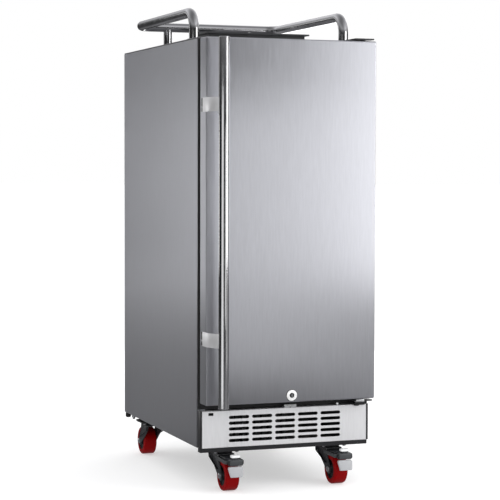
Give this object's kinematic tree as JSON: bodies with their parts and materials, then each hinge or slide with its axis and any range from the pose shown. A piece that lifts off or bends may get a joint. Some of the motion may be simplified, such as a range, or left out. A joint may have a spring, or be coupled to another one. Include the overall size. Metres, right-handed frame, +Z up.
{
  "type": "keg cooler",
  "caption": "Slim stainless keg-cooler cabinet on swivel casters with a hinged lockable door, bar handle, vented kick plate and top guard rail.",
  "frame": {"origin": "on the floor, under the middle of the bounding box at rest", "axes": "+Z up, -Y towards the door side (front), +X to the right seen from the front"},
  "size_m": [0.3824, 0.6622, 1.0155],
  "materials": {
    "brushed_stainless": "vertical brushed grain, satin",
    "polished_stainless": "polished",
    "chrome": "bright chrome",
    "zinc_plated_steel": "dull zinc",
    "black_painted_steel": "semi-gloss black paint",
    "black_plastic": "matte black",
    "white_plastic": "smooth white",
    "foam": "rigid foam",
    "seal_rubber": "soft black rubber",
    "red_tread": "glossy deep red polyurethane",
    "copper_tube": "copper"
  },
  "bodies": {
    "cabinet": {"left_side_panel": "brushed_stainless", "right_side_panel": "brushed_stainless", "top_panel": "brushed_stainless", "back_panel": "zinc_plated_steel", "rear_cover": "zinc_plated_steel", "power_gland": "black_plastic", "inner_liner": "white_plastic", "wall_insulation": "foam", "front_frame": "black_plastic", "base_chassis": "black_painted_steel", "kick_plate": "brushed_stainless", "guard_rail": "polished_stainless", "drip_tray": "brushed_stainless", "tray_grille": "polished_stainless", "tower_hole_plug": "black_plastic", "upper_hinge_bracket": "black_painted_steel", "lower_hinge_bracket": "zinc_plated_steel", "lock_strike": "zinc_plated_steel", "evaporator_cover": "white_plastic", "evaporator_coil": "zinc_plated_steel", "thermostat_housing": "white_plastic", "compressor": "black_painted_steel", "condenser": "black_painted_steel", "discharge_pipe": "copper_tube", "rear_foot_left": "seal_rubber", "rear_foot_right": "seal_rubber", "caster_plate_front_left": "black_painted_steel", "caster_plate_front_right": "black_painted_steel", "caster_plate_rear_left": "black_painted_steel", "caster_plate_rear_right": "black_painted_steel"},
    "door": {"door_skin": "brushed_stainless", "door_insulation": "foam", "door_liner": "white_plastic", "door_gasket": "seal_rubber", "handle_tube": "polished_stainless", "handle_bracket_upper": "polished_stainless", "handle_bracket_lower": "polished_stainless", "lock_housing": "chrome"},
    "lock_barrel": {"lock_plug": "zinc_plated_steel"},
    "evaporator_rotor": {"evaporator_fan": "black_plastic"},
    "condenser_rotor": {"condenser_fan": "black_plastic"},
    "thermostat_dial": {"thermostat_knob": "black_plastic"},
    "caster_front_left": {"fork_front_left": "black_painted_steel", "axle_front_left": "zinc_plated_steel"},
    "wheel_front_left": {"tread_front_left": "red_tread", "hub_front_left": "black_plastic"},
    "caster_front_right": {"fork_front_right": "black_painted_steel", "axle_front_right": "zinc_plated_steel"},
    "wheel_front_right": {"tread_front_right": "red_tread", "hub_front_right": "black_plastic"},
    "caster_rear_left": {"fork_rear_left": "black_painted_steel", "axle_rear_left": "zinc_plated_steel"},
    "wheel_rear_left": {"tread_rear_left": "red_tread", "hub_rear_left": "black_plastic"},
    "caster_rear_right": {"fork_rear_right": "black_painted_steel", "axle_rear_right": "zinc_plated_steel"},
    "wheel_rear_right": {"tread_rear_right": "red_tread", "hub_rear_right": "black_plastic"},
    "brake_front_left": {"brake_pedal_front_left": "zinc_plated_steel"},
    "brake_front_right": {"brake_pedal_front_right": "zinc_plated_steel"}
  },
  "joints": [
    {"name": "door_hinge", "type": "hinge", "parent": "cabinet", "child": "door", "pos_m": [0.17, -0.25465, 0.1871], "axis": [0, 0, 1], "range_deg": [0, 110]},
    {"name": "lock_turn", "type": "hinge", "parent": "door", "child": "lock_barrel", "pos_m": [0, -0.28005, 0.2015], "axis": [0, -1, 0], "range_deg": [0, 90]},
    {"name": "evaporator_fan_spin", "type": "hinge", "parent": "cabinet", "child": "evaporator_rotor", "pos_m": [0, 0.24935, 0.762], "axis": [0, 1, 0], "continuous": true},
    {"name": "condenser_fan_spin", "type": "hinge", "parent": "cabinet", "child": "condenser_rotor", "pos_m": [-0.06, -0.11265, 0.135], "axis": [0, 1, 0], "continuous": true},
    {"name": "thermostat_turn", "type": "hinge", "parent": "cabinet", "child": "thermostat_dial", "pos_m": [0, -0.04515, 0.8907], "axis": [0, -1, 0], "range_deg": [-135, 135]},
    {"name": "swivel_front_left", "type": "hinge", "parent": "cabinet", "child": "caster_front_left", "pos_m": [-0.1228, -0.19465, 0.0752], "axis": [0, 0, 1], "continuous": true},
    {"name": "roll_front_left", "type": "hinge", "parent": "caster_front_left", "child": "wheel_front_left", "pos_m": [-0.1228, -0.22965, 0.03175], "axis": [1, 0, 0], "continuous": true},
    {"name": "swivel_front_right", "type": "hinge", "parent": "cabinet", "child": "caster_front_right", "pos_m": [0.1228, -0.19465, 0.0752], "axis": [0, 0, 1], "continuous": true},
    {"name": "roll_front_right", "type": "hinge", "parent": "caster_front_right", "child": "wheel_front_right", "pos_m": [0.1228, -0.22965, 0.03175], "axis": [1, 0, 0], "continuous": true},
    {"name": "swivel_rear_left", "type": "hinge", "parent": "cabinet", "child": "caster_rear_left", "pos_m": [-0.153, 0.23035, 0.0752], "axis": [0, 0, 1], "continuous": true},
    {"name": "roll_rear_left", "type": "hinge", "parent": "caster_rear_left", "child": "wheel_rear_left", "pos_m": [-0.153, 0.26535, 0.03175], "axis": [1, 0, 0], "continuous": true},
    {"name": "swivel_rear_right", "type": "hinge", "parent": "cabinet", "child": "caster_rear_right", "pos_m": [0.153, 0.23035, 0.0752], "axis": [0, 0, 1], "continuous": true},
    {"name": "roll_rear_right", "type": "hinge", "parent": "caster_rear_right", "child": "wheel_rear_right", "pos_m": [0.153, 0.26535, 0.03175], "axis": [1, 0, 0], "continuous": true},
    {"name": "brake_front_left", "type": "hinge", "parent": "caster_front_left", "child": "brake_front_left", "pos_m": [-0.1228, -0.21065, 0.0675], "axis": [1, 0, 0], "range_deg": [0, 8]},
    {"name": "brake_front_right", "type": "hinge", "parent": "caster_front_right", "child": "brake_front_right", "pos_m": [0.1228, -0.21065, 0.0675], "axis": [1, 0, 0], "range_deg": [0, 8]}
  ]
}
